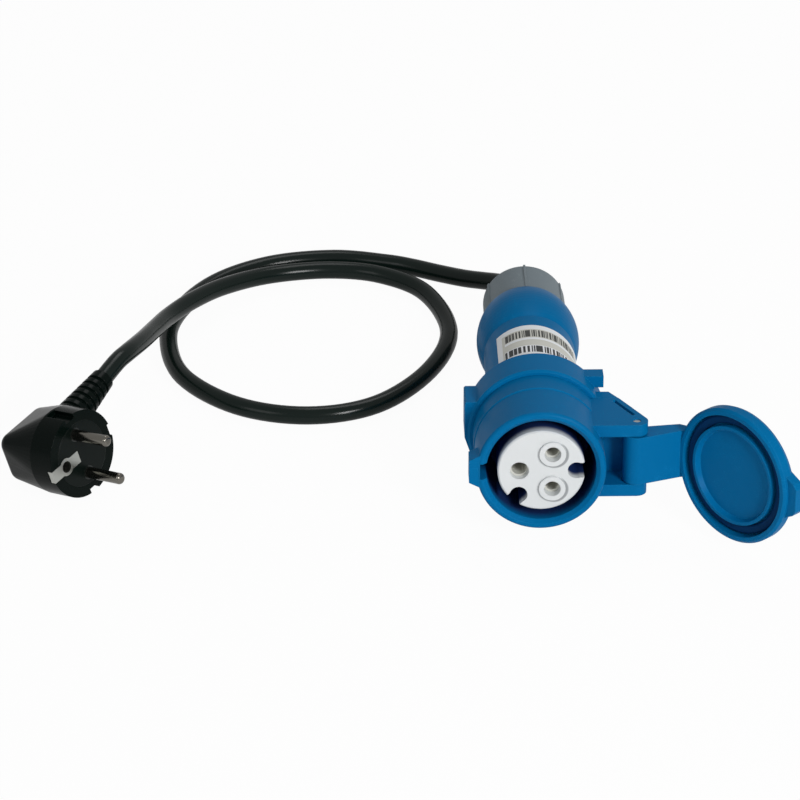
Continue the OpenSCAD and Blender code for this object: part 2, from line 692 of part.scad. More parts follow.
module plug_body() {
    color(black) plug_place() difference() {
        union() {
            translate([0, 0, -plug_face_len]) cylinder(r = plug_face_r, h = plug_face_len);
            hull() {
                translate([0, 0, -plug_face_len]) cylinder(r = plug_face_r, h = plug_face_len / 3, $fn = 60);
                for (x = [plug_back_left, plug_back_right], side = [-1, 1])
                    translate([x, side * plug_back_half, -plug_back_at]) sphere(r = plug_back_r, $fn = 32);
                relief_place() cylinder(r = relief_root_r, h = relief_start, $fn = 32);
            }
            relief_place() rotate_extrude() relief_outline();
        }
        translate([0, 0, -bridge_t]) cylinder(r = bridge_r + seat_gap, h = bridge_t + 1);
        for (side = [-1, 1])
            translate([-guide_w / 2, side * plug_face_r - guide_d, -plug_face_len + 1])
                cube([guide_w, 2 * guide_d, plug_face_len]);
        translate([earth_x, 0, -strap_len - strap_gap])
            cylinder(r = plug_earth_r + earth_wall + seat_gap, h = strap_len);
        translate([earth_x, -strap_w / 2 - strap_gap, -strap_len - strap_gap])
            cube([strap_x - earth_x, strap_w + 2 * strap_gap, strap_t + 2 * strap_gap]);
        translate([strap_x - strap_t - strap_gap, -strap_w / 2 - strap_gap, -strap_len - strap_gap])
            cube([2 * strap_t, strap_w + 2 * strap_gap, strap_len + 1]);
        translate([-strap_x - 1, -strap_w / 2 - strap_gap, -strap_t - strap_gap])
            cube([strap_x, strap_w + 2 * strap_gap, 2 * strap_t]);
        translate([-strap_x - strap_t, -strap_w / 2 - strap_gap, -plate_lip - strap_gap])
            cube([2 * strap_t + strap_gap, strap_w + 2 * strap_gap, plate_lip + 1]);
    }
}
module pin_bridge() {
    color(black) plug_place() difference() {
        translate([0, 0, -bridge_t + seat_gap]) cylinder(r = bridge_r, h = bridge_t - seat_gap);
        for (side = [-1, 1])
            translate([0, side * plug_pin_pitch / 2, -bridge_t])
                cylinder(r = plug_root_r + pin_gap, h = 2 * bridge_t);
        translate([earth_x, 0, -bridge_t])
            cylinder(r = plug_earth_r + earth_wall + seat_gap, h = 2 * bridge_t);
        translate([earth_x, 0, -strap_t - strap_gap]) cylinder(r = earth_ring_r + strap_gap, h = 2 * strap_t);
        translate([-strap_x, -strap_w / 2 - strap_gap, -strap_t - strap_gap])
            cube([strap_x + plate_end + strap_gap, strap_w + 2 * strap_gap, 2 * strap_t]);
    }
}
module plug_pin(side) {
    color(nickel) plug_place() translate([0, side * plug_pin_pitch / 2, 0])
        rotate_extrude()
            polygon(concat(
                [[0, -plug_root_len], [plug_root_r, -plug_root_len], [plug_root_r, 0], [plug_pin_r, 0]],
                [for (q = [0 : 15 : 90]) [
                    plug_pin_r - plug_tip_round + plug_tip_round * cos(q),
                    plug_pin_len - plug_tip_round + plug_tip_round * sin(q)
                ]],
                [[0, plug_pin_len]]
            ));
}
module line_pin() { plug_pin(1); }
module neutral_pin() { plug_pin(-1); }
module earth_strap() {
    color(nickel) plug_place() difference() {
        union() {
            translate([-strap_x, -strap_w / 2, -strap_t]) cube([strap_x + plate_end, strap_w, strap_t]);
            translate([-strap_x, -strap_w / 2, -plate_lip]) cube([strap_t, strap_w, plate_lip]);
            translate([earth_x, 0, -strap_t]) cylinder(r = earth_ring_r, h = strap_t);
            translate([earth_x, 0, -strap_len])
                cylinder(r = plug_earth_r + earth_wall, h = strap_len - strap_t / 2);
            translate([earth_x, -strap_w / 2, -strap_len]) cube([strap_x - earth_x, strap_w, strap_t]);
            translate([strap_x - strap_t, -strap_w / 2, -strap_len])
                cube([strap_t, strap_w, strap_len - 1.5]);
        }
        translate([earth_x, 0, -strap_len - 1]) cylinder(r = plug_earth_r, h = strap_len + 2);
    }
}

front_housing();
rear_housing();
contact_insert();
phase_sleeve();
neutral_sleeve();
earth_sleeve();
terminal_screws();
housing_seal();
gland_nut();
gland_seal();
clamp_ring();
phase_core();
neutral_core();
earth_core();
hinge_pin();
lid_spring();
lid();
lid_gasket();
cable();
plug_body();
pin_bridge();
line_pin();
neutral_pin();
earth_strap();
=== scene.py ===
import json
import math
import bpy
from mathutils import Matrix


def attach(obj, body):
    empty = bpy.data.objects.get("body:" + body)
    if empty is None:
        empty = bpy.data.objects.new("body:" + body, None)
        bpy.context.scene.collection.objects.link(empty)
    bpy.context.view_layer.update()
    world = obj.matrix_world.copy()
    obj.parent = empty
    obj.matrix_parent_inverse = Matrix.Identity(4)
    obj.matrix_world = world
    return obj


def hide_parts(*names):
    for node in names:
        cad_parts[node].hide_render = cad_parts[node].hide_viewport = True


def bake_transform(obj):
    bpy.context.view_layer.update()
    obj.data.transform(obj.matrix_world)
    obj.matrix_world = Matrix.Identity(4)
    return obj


bl_info = {
    "name": "Pin and sleeve adapter",
    "version": (1, 0, 0),
    "blender": (4, 5, 0),
    "location": "View3D > Sidebar > Adapter",
    "description": "Dresses an adapter lead: angled plug, looped cable and pin and sleeve connector",
    "category": "Add Mesh",
}

import bmesh
import bpy
from mathutils import Matrix, Vector

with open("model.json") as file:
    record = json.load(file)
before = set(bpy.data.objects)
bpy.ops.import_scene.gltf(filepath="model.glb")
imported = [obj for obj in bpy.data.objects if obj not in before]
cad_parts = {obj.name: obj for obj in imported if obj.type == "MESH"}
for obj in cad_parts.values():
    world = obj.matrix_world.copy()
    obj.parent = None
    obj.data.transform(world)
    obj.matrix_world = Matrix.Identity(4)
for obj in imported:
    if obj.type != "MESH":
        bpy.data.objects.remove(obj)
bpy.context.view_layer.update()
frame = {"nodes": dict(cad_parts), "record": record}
NODES = frame["nodes"]
MOUNTS = {mount["name"]: mount for mount in frame["record"]["mounts"]}

# The connector's own frame: Z out of the mouth, X to the hinge, Y up
MOUTH = Vector(MOUNTS["socket_mouth"]["pos_m"])
OUT = Vector(MOUNTS["socket_mouth"]["axis"]).normalized()
SIDE = Vector((1.0, 0.0, 0.0))
RISE = OUT.cross(SIDE).normalized()
CONNECTOR = Matrix.Translation(MOUTH) @ Matrix((SIDE, RISE, OUT)).transposed().to_4x4()

# The middles of the three contact holes on the insert; the last two have raised rings
CONTACT_SPOTS = [CONNECTOR @ Vector(spot) for spot in (
    (-0.009, 0.0, -0.001), (0.0045, 0.0078, -0.001), (0.0045, -0.0078, -0.001))]
# Painted shadow: the crescents beside the raised rings are shifted this way, to the lower right
RING_LEAN = (SIDE - RISE) * 0.0008

# Cable route, in metres from the mouth's plan point, as in the part's source
LIE = 0.0041
ROUTE = [
    (-0.0015, 0.1768, LIE + 0.0126), (-0.0049, 0.1848, LIE + 0.0103), (-0.010, 0.192, LIE + 0.0077),
    (-0.0168, 0.1978, LIE + 0.0053), (-0.0255, 0.2044, LIE + 0.0029), (-0.037, 0.213, LIE + 0.0008),
    (-0.048, 0.2195, LIE + 0.0001), (-0.060, 0.224, LIE), (-0.084, 0.2285, LIE), (-0.113, 0.2235, LIE),
    (-0.1375, 0.2075, LIE), (-0.153, 0.1825, LIE), (-0.1575, 0.157, LIE), (-0.150, 0.1255, LIE),
    (-0.126, 0.101, LIE), (-0.0955, 0.0925, LIE), (-0.066, 0.101, LIE), (-0.043, 0.128, LIE),
    (-0.033, 0.1615, LIE), (-0.0425, 0.196, LIE), (-0.0625, 0.213, LIE), (-0.086, 0.2175, LIE + 0.0002),
    (-0.1125, 0.211, LIE + 0.0017), (-0.133, 0.195, LIE + 0.0053), (-0.147, 0.178, LIE + 0.0079),
    (-0.157, 0.1605, LIE + 0.0101), (-0.1625, 0.143, LIE + 0.0141), (-0.1665, 0.1275, LIE + 0.0183),
    (-0.1695, 0.1175, LIE + 0.0209), (-0.173, 0.108, LIE + 0.0229),
]
ROUTE_ORIGIN = Vector((MOUTH.x, MOUTH.y, 0.0))
ROUTE_STEPS = 8
SHEATH_ROUNDS = 8

# The cable inside the nut, at the nut's end, and on its first straight run behind the nut
CABLE_START = 0.150
NUT_END = 0.1646
NUT_LEAD = 0.004

# The plug's face: its middle, the way its pins point, and the way from the lower pin to the upper one
PIN_MIDDLE = 0.0088
PIN_UPPER, PIN_LOWER = (Vector(MOUNTS[name]["pos_m"]) for name in ("line_pin", "neutral_pin"))
PIN_WAY = Vector(MOUNTS["line_pin"]["axis"]).normalized()
PLUG_RISE = (PIN_UPPER - PIN_LOWER).normalized()
PLUG_FACE = (PIN_UPPER + PIN_LOWER) / 2 - PIN_WAY * PIN_MIDDLE

# The bend relief behind the plug's face, and where the cable runs into its end
RELIEF_AT = 0.0205
RELIEF_END = 0.046
RELIEF_LEAD = 0.012
RELIEF_TUCK = 0.001
RELIEF_LEAN = math.radians(8.0)
RELIEF_TURN = math.radians(4.0)

# The photograph's camera: the point it looks at, its height angle, its turn, its distance and its lens
CAMERA_TARGET = ROUTE_ORIGIN + Vector((-0.0572, 0.0222, 0.0549))
CAMERA_ELEVATION = math.radians(31.7)
CAMERA_TURN = math.radians(1.0)
CAMERA_REACH = 1.65
CAMERA_FAR = 20.0
SENSOR_WIDTH = 36.0
FOCAL_PIXELS = 4040.0
PICTURE_PIXELS = 800.0

# Lamps: name, place, power in watts and size
LAMPS = (
    ("key_lamp", (0.75, -1.3, 0.85), 18.5, 0.5),
    ("fill_lamp", (-1.0, -1.0, 0.9), 2.0, 0.6),
    ("back_lamp", (0.1, 0.8, 1.3), 3.0, 0.6),
)
LAMP_AIM = Vector((-0.06, 0.0, 0.03))

# Floor and world: how white they are in the picture and in a gloss, and the world's plain light
WHITE = (1.0, 1.0, 1.0, 1.0)
FLOOR_GREY = (0.85, 0.85, 0.85, 1.0)
FLOOR_ROUGHNESS = 0.9
FLOOR_SIZE = 8.0
FLOOR_DROP = 0.0005
FLOOR_SEEN = 0.96
FLOOR_GLOSS = 0.4
WORLD_GLOSS = 0.3
WORLD_LIGHT = 0.28

# The label's print: left, right, back and front as shares of the label's map
LABEL_GROUND = (0.06, 0.94, 0.14, 0.96)
LABEL_STRIPE = (0.09, 0.91, 0.43, 0.50)
LABEL_BAND = (0.08, 0.92, 0.70, 0.955)
FINE_ROW = (0.10, 0.90, 0.175, 0.405)
COARSE_ROW = (0.08, 0.92, 0.72, 0.935)
LABEL_SPECULAR = 0.1
LABEL_VERTICES = 120
LABEL_LIFT = 0.4

# Surface finish
GREY = (0.5, 0.5, 0.5, 1.0)
PALE = (0.8, 0.8, 0.8, 1.0)
SMOOTH_ANGLE = math.radians(40.0)
MERGE_DISTANCE = 0.000001
EDGE_GAIN = 6.0
EDGE_BREAKS = 300.0
SCUFF_TURN = (0.4, 0.3, 0.5)
SCUFF_STRETCHES = ((160.0, 2600.0, 2300.0), (2400.0, 170.0, 2600.0))
SCUFF_PATCHES = 0.5
MOULD_LINE_HEIGHT = 6.0
PLASTIC_RELIEF = 0.5
METAL_RELIEF = 0.3
METAL_BUMP = 0.00002
# A contact hole's mask starts well in front of the insert, so it holds the whole hole and keeps the painted shade
# out of it
HOLE_MASK = {"Shallow": -0.01, "Deep": -0.009, "Reach": 0.0045}
# A pin's mask starts just in front of the plug's face
ROOT_START = PLUG_FACE + PIN_WAY * 0.0001
ROOT_MASK = {"Shallow": 0.0, "Deep": 0.00002, "Reach": 0.05}


def srgb(red, green, blue):
    """A colour given in 0 to 255 screen values, as Blender's linear colour."""
    def linear(value):
        value /= 255.0
        return value / 12.92 if value <= 0.04045 else ((value + 0.055) / 1.055) ** 2.4
    return (linear(red), linear(green), linear(blue), 1.0)


# Edge colours: paler edges painted as highlights, and also the colour of the handling scuffs
BLUE_HIGHLIGHT_AND_SCUFF = srgb(36, 150, 210)
BLACK_HIGHLIGHT_AND_SCUFF = srgb(30, 40, 37)


def colour_prop(name, description, default):
    return bpy.props.FloatVectorProperty(
        name=name, description=description, subtype="COLOR", size=4, min=0.0, max=1.0, default=default)


def length_prop(name, description, default):
    return bpy.props.FloatProperty(
        name=name, description=description, default=default, min=0.0, unit="LENGTH", subtype="DISTANCE",
        precision=5)


def angle_prop(name, description, degrees):
    return bpy.props.FloatProperty(
        name=name, description=description, default=math.radians(degrees), unit="ROTATION", subtype="ANGLE")


class AdapterFinish(bpy.types.PropertyGroup):
    """Colours of the adapter's plastics, rubber and metals."""
    housing: colour_prop("Housing", "Blue of the two housings and the lid", srgb(0, 105, 160))
    insert: colour_prop("Insert", "Off-white of the contact insert", srgb(222, 225, 226))
    nut: colour_prop("Gland nut", "Grey of the gland nut", srgb(126, 137, 143))
    plug: colour_prop("Plug", "Black of the plug", srgb(4, 13, 10))
    sheath: colour_prop("Cable sheath", "Black of the cable", srgb(14, 25, 22))
    rubber: colour_prop("Seals", "Dark rubber of the seals", srgb(18, 20, 24))
    gasket: colour_prop("Gasket", "Navy rubber of the lid's gasket", srgb(8, 54, 98))
    # Painted shade: the colour that the socket's walls and the insert's sides fall to behind the mouth, standing
    # in for the shadow there
    depth: colour_prop("Depth", "Tone that the socket's walls fall to behind the mouth", srgb(30, 50, 100))
    # Painted shadow: the grey of the crescents beside the insert's raised rings
    shade: colour_prop("Ring shade", "Grey beside the raised rings of the insert", srgb(160, 163, 165))
    pin: colour_prop("Pins", "Metal of the plug's two pins", srgb(122, 119, 112))
    plate: colour_prop("Plate", "Metal of the plug's earth plate", srgb(186, 188, 182))
    label: colour_prop("Label", "Paper of the neck's label", srgb(240, 243, 246))
    label_field: colour_prop("Label field", "Printed ground of the label", srgb(212, 212, 204))
    label_ink: colour_prop("Label ink", "Bars printed on the label", srgb(20, 24, 26))


class AdapterSizes(bpy.types.PropertyGroup):
    """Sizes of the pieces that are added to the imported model."""
    cable_diameter: length_prop("Cable diameter", "Outside diameter of the cable", 0.008)
    label_radius: length_prop("Label radius", "Radius of the neck under the label", 0.0196)
    label_front: length_prop("Label front", "Distance from the mouth to the label's front edge", 0.070)
    label_length: length_prop("Label length", "Length of the label along the neck", 0.028)
    label_paper: length_prop("Label paper", "Thickness of the label", 0.00015)
    label_middle: angle_prop("Label middle", "Turn of the label's middle from the top towards the hinge", 14.0)
    label_half: angle_prop("Label half", "Half of the arc that the label covers", 61.0)


# Helpers for work with operators

def deselect_all():
    if bpy.context.object and bpy.context.object.mode != "OBJECT":
        bpy.ops.object.mode_set(mode="OBJECT")
    bpy.ops.object.select_all(action="DESELECT")


def make_active(obj):
    deselect_all()
    obj.select_set(True)
    bpy.context.view_layer.objects.active = obj


def dress(obj, material):
    obj.data.materials.clear()
    obj.data.materials.append(material)


def settle(obj, name, body, material):
    """Put the object's place into its mesh, name it, and let it ride on a body."""
    make_active(obj)
    bpy.ops.object.transform_apply(location=True, rotation=True, scale=True)
    obj.name = name
    obj.data.name = name
    dress(obj, material)
    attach(obj, body)


def apply_modifier(obj, kind, **values):
    make_active(obj)
    modifier = obj.modifiers.new(kind.lower(), kind)
    for key, value in values.items():
        setattr(modifier, key, value)
    bpy.ops.object.modifier_apply(modifier=modifier.name)


# Helpers for shader nodes

def feed(tree, socket, value):
    """Link another socket to this one, or set this one to a plain value."""
    if isinstance(value, bpy.types.NodeSocket):
        tree.links.new(value, socket)
    else:
        socket.default_value = value


def math_node(tree, operation, first, second):
    node = tree.nodes.new("ShaderNodeMath")
    node.operation = operation
    for index, value in enumerate((first, second)):
        feed(tree, node.inputs[index], value)
    return node.outputs[0]


def vector_node(tree, operation, first, second=None):
    node = tree.nodes.new("ShaderNodeVectorMath")
    node.operation = operation
    tree.links.new(first, node.inputs[0])
    if second is not None:
        tree.links.new(second, node.inputs[1])
    return node.outputs["Value"] if operation in ("DOT_PRODUCT", "LENGTH") else node.outputs["Vector"]


def fade_node(tree, value, low, high, first=0.0, last=1.0):
    """A soft step from the first value at low to the last value at high."""
    node = tree.nodes.new("ShaderNodeMapRange")
    node.interpolation_type = "SMOOTHSTEP"
    for name, source in (("Value", value), ("From Min", low), ("From Max", high)):
        tree.links.new(source, node.inputs[name])
    node.inputs["To Min"].default_value = first
    node.inputs["To Max"].default_value = last
    return node.outputs["Result"]


def mix_colour(tree, mask, first, second):
    """The first colour, and the second one where the mask is 1."""
    mix = tree.nodes.new("ShaderNodeMix")
    mix.data_type = "RGBA"
    tree.links.new(mask, mix.inputs["Factor"])
    for index, value in ((6, first), (7, second)):
        feed(tree, mix.inputs[index], value)
    return mix.outputs[2]


def noise_node(tree, place, scale, detail=2.0):
    node = tree.nodes.new("ShaderNodeTexNoise")
    tree.links.new(place, node.inputs["Vector"])
    feed(tree, node.inputs["Scale"], scale)
    node.inputs["Detail"].default_value = detail
    return node.outputs["Fac"]


def object_place(tree):
    return tree.nodes.new("ShaderNodeTexCoord").outputs["Object"]


def add_relief(tree, shader, height, strength, distance, normal=None):
    """Turn a height into the shader's normal, on top of another normal where one is given."""
    relief = tree.nodes.new("ShaderNodeBump")
    relief.inputs["Strength"].default_value = strength
    relief.inputs["Distance"].default_value = distance
    tree.links.new(height, relief.inputs["Height"])
    if normal is not None:
        tree.links.new(normal, relief.inputs["Normal"])
    tree.links.new(relief.outputs["Normal"], shader.inputs["Normal"])


# Shader node groups, each named for the function that builds it

def new_group(name, inputs, outputs):
    """An empty node group, with the sockets that it is given and the sockets that it fills."""
    group = bpy.data.node_groups.new(name, "ShaderNodeTree")
    for label, kind, default in inputs:
        socket = group.interface.new_socket(label, in_out="INPUT", socket_type=kind)
        socket.default_value = default
    for label, kind in outputs:
        group.interface.new_socket(label, in_out="OUTPUT", socket_type=kind)
    start = group.nodes.new("NodeGroupInput")
    end = group.nodes.new("NodeGroupOutput")
    return group, start.outputs, end.inputs


def place_group(tree, build, **values):
    """Place a node group in a tree with its own values; its first use builds it."""
    node = tree.nodes.new("ShaderNodeGroup")
    node.node_tree = bpy.data.node_groups.get(build.__name__) or build()
    for key, value in values.items():
        node.inputs[key.replace("_", " ")].default_value = value
    return node


def moulded_grain():
    """Fine spark-eroded grain and slow gloss changes of a moulded plastic."""
    group, given, result = new_group(
        "moulded_grain",
        [("Grain Scale", "NodeSocketFloat", 2200.0), ("Patch Scale", "NodeSocketFloat", 45.0),
         ("Roughness", "NodeSocketFloat", 0.4), ("Roughness Spread", "NodeSocketFloat", 0.12),
         ("Colour", "NodeSocketColor", GREY), ("Colour Spread", "NodeSocketFloat", 0.1)],
        [("Colour", "NodeSocketColor"), ("Roughness", "NodeSocketFloat"), ("Height", "NodeSocketFloat")])
    place = object_place(group)
    grain = noise_node(group, place, given["Grain Scale"], detail=3.0)
    patch = noise_node(group, place, given["Patch Scale"], detail=4.0)
    centred = math_node(group, "SUBTRACT", patch, 0.5)
    swing = math_node(group, "MULTIPLY", centred, given["Roughness Spread"])
    tone = math_node(group, "MULTIPLY", centred, given["Colour Spread"])
    tint = group.nodes.new("ShaderNodeVectorMath")
    tint.operation = "SCALE"
    group.links.new(given["Colour"], tint.inputs[0])
    group.links.new(math_node(group, "ADD", tone, 1.0), tint.inputs["Scale"])
    group.links.new(tint.outputs["Vector"], result["Colour"])
    group.links.new(math_node(group, "ADD", given["Roughness"], swing), result["Roughness"])
    group.links.new(grain, result["Height"])
    return group


def painted_edge_highlight():
    """Painted edge highlights: paler edges, found from how far a rounded normal turns from the face's own."""
    group, given, result = new_group(
        "painted_edge_highlight",
        [("Edge Radius", "NodeSocketFloat", 0.0006), ("Amount", "NodeSocketFloat", 0.3),
         ("Colour", "NodeSocketColor", GREY), ("Rubbed", "NodeSocketColor", PALE)],
        [("Colour", "NodeSocketColor"), ("Normal", "NodeSocketVector")])
    bevel = group.nodes.new("ShaderNodeBevel")
    bevel.samples = 4
    group.links.new(given["Edge Radius"], bevel.inputs["Radius"])
    face = group.nodes.new("ShaderNodeNewGeometry")
    along = vector_node(group, "DOT_PRODUCT", bevel.outputs["Normal"], face.outputs["Normal"])
    turned = math_node(group, "SUBTRACT", 1.0, along)
    spread = math_node(group, "MULTIPLY", turned, EDGE_GAIN)
    broken = math_node(group, "MULTIPLY", spread, noise_node(group, object_place(group), EDGE_BREAKS))
    mask = math_node(group, "MULTIPLY", broken, given["Amount"])
    capped = math_node(group, "MINIMUM", mask, given["Amount"])
    group.links.new(mix_colour(group, capped, given["Colour"], given["Rubbed"]), result["Colour"])
    group.links.new(bevel.outputs["Normal"], result["Normal"])
    return group


def depth_behind():
    """A mask that grows with the depth behind a plane, within a reach of an axis."""
    group, given, result = new_group(
        "depth_behind",
        [("Origin", "NodeSocketVector", (0.0, 0.0, 0.0)), ("Axis", "NodeSocketVector", (0.0, 0.0, 1.0)),
         ("Shallow", "NodeSocketFloat", 0.001), ("Deep", "NodeSocketFloat", 0.006),
         ("Reach", "NodeSocketFloat", 0.0226)],
        [("Mask", "NodeSocketFloat")])
    offset = vector_node(group, "SUBTRACT", given["Origin"], object_place(group))
    depth = vector_node(group, "DOT_PRODUCT", offset, given["Axis"])
    radius = vector_node(group, "LENGTH", vector_node(group, "CROSS_PRODUCT", offset, given["Axis"]))
    inside = math_node(group, "LESS_THAN", radius, given["Reach"])
    fall = fade_node(group, depth, given["Shallow"], given["Deep"])
    group.links.new(math_node(group, "MULTIPLY", fall, inside), result["Mask"])
    return group


def ring_shade():
    """A soft crescent beside a raised ring, on the side where the ring keeps the light off."""
    group, given, result = new_group(
        "ring_shade",
        [("Centre", "NodeSocketVector", (0.0, 0.0, 0.0)), ("Lean", "NodeSocketVector", (0.0, 0.0, 0.0)),
         ("Ring", "NodeSocketFloat", 0.00552), ("Edge", "NodeSocketFloat", 0.0061)],
        [("Mask", "NodeSocketFloat")])
    offset = vector_node(group, "SUBTRACT", object_place(group), given["Centre"])
    outside = math_node(group, "GREATER_THAN", vector_node(group, "LENGTH", offset), given["Ring"])
    leant = vector_node(group, "LENGTH", vector_node(group, "SUBTRACT", offset, given["Lean"]))
    near = fade_node(group, leant, given["Ring"], given["Edge"], 1.0, 0.0)
    group.links.new(math_node(group, "MULTIPLY", outside, near), result["Mask"])
    return group


def handling_scuffs():
    """Sparse fine scratches from handling, in two directions, as a mask."""
    group, given, result = new_group(
        "handling_scuffs", [("Patch Scale", "NodeSocketFloat", 70.0), ("Level", "NodeSocketFloat", 0.66)],
        [("Mask", "NodeSocketFloat")])
    place = object_place(group)
    patch = noise_node(group, place, given["Patch Scale"])
    wear_and_highlight = math_node(group, "GREATER_THAN", patch, SCUFF_PATCHES)
    streaks = []
    for stretch in SCUFF_STRETCHES:
        stretched = group.nodes.new("ShaderNodeMapping")
        stretched.inputs["Rotation"].default_value = SCUFF_TURN
        stretched.inputs["Scale"].default_value = stretch
        group.links.new(place, stretched.inputs["Vector"])
        lines = noise_node(group, stretched.outputs["Vector"], 1.0, detail=1.0)
        streaks.append(math_node(group, "GREATER_THAN", lines, given["Level"]))
    crossed = math_node(group, "MAXIMUM", *streaks)
    group.links.new(math_node(group, "MULTIPLY", crossed, wear_and_highlight), result["Mask"])
    return group


def mould_line():
    """The thin raised line where two halves of a mould met, as a height."""
    group, given, result = new_group(
        "mould_line",
        [("Origin", "NodeSocketVector", (0.0, 0.0, 0.0)), ("Normal", "NodeSocketVector", (0.0, 0.0, 1.0)),
         ("Middle", "NodeSocketFloat", 0.0), ("Width", "NodeSocketFloat", 0.00025)],
        [("Height", "NodeSocketFloat")])
    offset = vector_node(group, "SUBTRACT", object_place(group), given["Origin"])
    away = math_node(group, "ABSOLUTE", vector_node(group, "DOT_PRODUCT", offset, given["Normal"]), 0.0)
    group.links.new(fade_node(group, away, given["Middle"], given["Width"], 1.0, 0.0), result["Height"])
    return group


# Materials

def new_material(name):
    material = bpy.data.materials.new(name)
    material.use_nodes = True
    shader = material.node_tree.nodes["Principled BSDF"]
    return material, material.node_tree, shader


def plastic_material(name, colour, roughness, highlight_and_scuff, grain=2200.0, bump=0.00002, edge=0.0005, amount=0.3,
                     specular=0.045, depth=None, shallow=0.001, deep=0.008, holes=(), rings=(), shade=None,
                     scuffs=0.0, line=None):
    """Moulded plastic: grain, slow gloss changes, painted edge highlights, scuffs, a mould line, painted shadows
    beside the insert's rings and painted shade in the socket.
    """
    material, tree, shader = new_material(name)
    finish = place_group(tree, moulded_grain, Grain_Scale=grain, Roughness=roughness, Colour=colour)
    # Painted highlight: the edges are lightened towards the highlight colour
    wear_and_highlight = place_group(tree, painted_edge_highlight, Edge_Radius=edge, Amount=amount, Rubbed=highlight_and_scuff)
    tree.links.new(finish.outputs["Colour"], wear_and_highlight.inputs["Colour"])
    tone = wear_and_highlight.outputs["Colour"]
    # Painted shadows: grey crescents beside the insert's raised rings
    for centre in rings:
        crescent = place_group(tree, ring_shade, Centre=centre, Lean=RING_LEAN)
        tone = mix_colour(tree, crescent.outputs["Mask"], tone, tuple(shade))
    # Painted shade: darker towards the depth colour behind the mouth, except in the contact holes
    if depth is not None:
        inside = place_group(tree, depth_behind, Origin=MOUTH, Axis=OUT, Shallow=shallow, Deep=deep)
        sunk = inside.outputs["Mask"]
        for centre in holes:
            bore = place_group(tree, depth_behind, Origin=centre, Axis=OUT, **HOLE_MASK)
            sunk = math_node(tree, "SUBTRACT", sunk, bore.outputs["Mask"])
        tone = mix_colour(tree, sunk, tone, tuple(depth))
    gloss = finish.outputs["Roughness"]
    if scuffs:
        scratched = place_group(tree, handling_scuffs)
        faint = math_node(tree, "MULTIPLY", scratched.outputs["Mask"], scuffs)
        tone = mix_colour(tree, faint, tone, tuple(highlight_and_scuff))
        gloss = math_node(tree, "ADD", gloss, faint)
    tree.links.new(tone, shader.inputs["Base Color"])
    tree.links.new(gloss, shader.inputs["Roughness"])
    shader.inputs["Specular IOR Level"].default_value = specular
    height = finish.outputs["Height"]
    if line is not None:
        seam = place_group(tree, mould_line, Origin=line[0], Normal=line[1])
        raised = math_node(tree, "MULTIPLY", seam.outputs["Height"], MOULD_LINE_HEIGHT)
        height = math_node(tree, "ADD", height, raised)
    add_relief(tree, shader, height, PLASTIC_RELIEF, bump, wear_and_highlight.outputs["Normal"])
    return material


def metal_material(name, colour, roughness, metallic=1.0, root=None):
    """Bright metal with fine turning marks and slow tarnish, and for a pin a dark root in the plug's face."""
    material, tree, shader = new_material(name)
    finish = place_group(tree, moulded_grain, Grain_Scale=900.0, Patch_Scale=160.0, Roughness=roughness,
                         Roughness_Spread=0.08, Colour=colour, Colour_Spread=0.14)
    tone = finish.outputs["Colour"]
    shader.inputs["Metallic"].default_value = metallic
    if root is not None:
        sunk = place_group(tree, depth_behind, Origin=ROOT_START, Axis=PIN_WAY, **ROOT_MASK)
        tone = mix_colour(tree, sunk.outputs["Mask"], tone, tuple(root))
        tree.links.new(math_node(tree, "SUBTRACT", 1.0, sunk.outputs["Mask"]), shader.inputs["Metallic"])
    tree.links.new(tone, shader.inputs["Base Color"])
    tree.links.new(finish.outputs["Roughness"], shader.inputs["Roughness"])
    add_relief(tree, shader, finish.outputs["Height"], METAL_RELIEF, METAL_BUMP)
    return material


def label_material(paper, field, ink):
    """Paper label with two rows of plain printed bars that follow its own map."""
    material, tree, shader = new_material("label_paper")
    finish = place_group(tree, moulded_grain, Grain_Scale=3000.0, Roughness=0.45, Colour=paper,
                         Colour_Spread=0.06)
    place = tree.nodes.new("ShaderNodeUVMap")
    split = tree.nodes.new("ShaderNodeSeparateXYZ")
    tree.links.new(place.outputs["UV"], split.inputs["Vector"])
    across, along = split.outputs["X"], split.outputs["Y"]

    def span(value, low, high):
        above = math_node(tree, "GREATER_THAN", value, low)
        below = math_node(tree, "LESS_THAN", value, high)
        return math_node(tree, "MULTIPLY", above, below)

    def panel(left, right, back, front):
        return math_node(tree, "MULTIPLY", span(across, left, right), span(along, back, front))

    def bars(row, scale, level, strength):
        stripes = tree.nodes.new("ShaderNodeTexNoise")
        stripes.noise_dimensions = "1D"
        stripes.inputs["Scale"].default_value = scale
        stripes.inputs["Detail"].default_value = 0.0
        tree.links.new(across, stripes.inputs["W"])
        inked = math_node(tree, "GREATER_THAN", stripes.outputs["Fac"], level)
        return math_node(tree, "MULTIPLY", math_node(tree, "MULTIPLY", inked, panel(*row)), strength)

    tone = mix_colour(tree, panel(*LABEL_GROUND), finish.outputs["Colour"], field)
    for blank in (LABEL_STRIPE, LABEL_BAND):
        tone = mix_colour(tree, panel(*blank), tone, paper)
    tone = mix_colour(tree, bars(FINE_ROW, scale=60.0, level=0.46, strength=0.9), tone, ink)
    tone = mix_colour(tree, bars(COARSE_ROW, scale=46.0, level=0.45, strength=0.95), tone, ink)
    tree.links.new(tone, shader.inputs["Base Color"])
    tree.links.new(finish.outputs["Roughness"], shader.inputs["Roughness"])
    shader.inputs["Specular IOR Level"].default_value = LABEL_SPECULAR
    return material


MATERIALS = {}


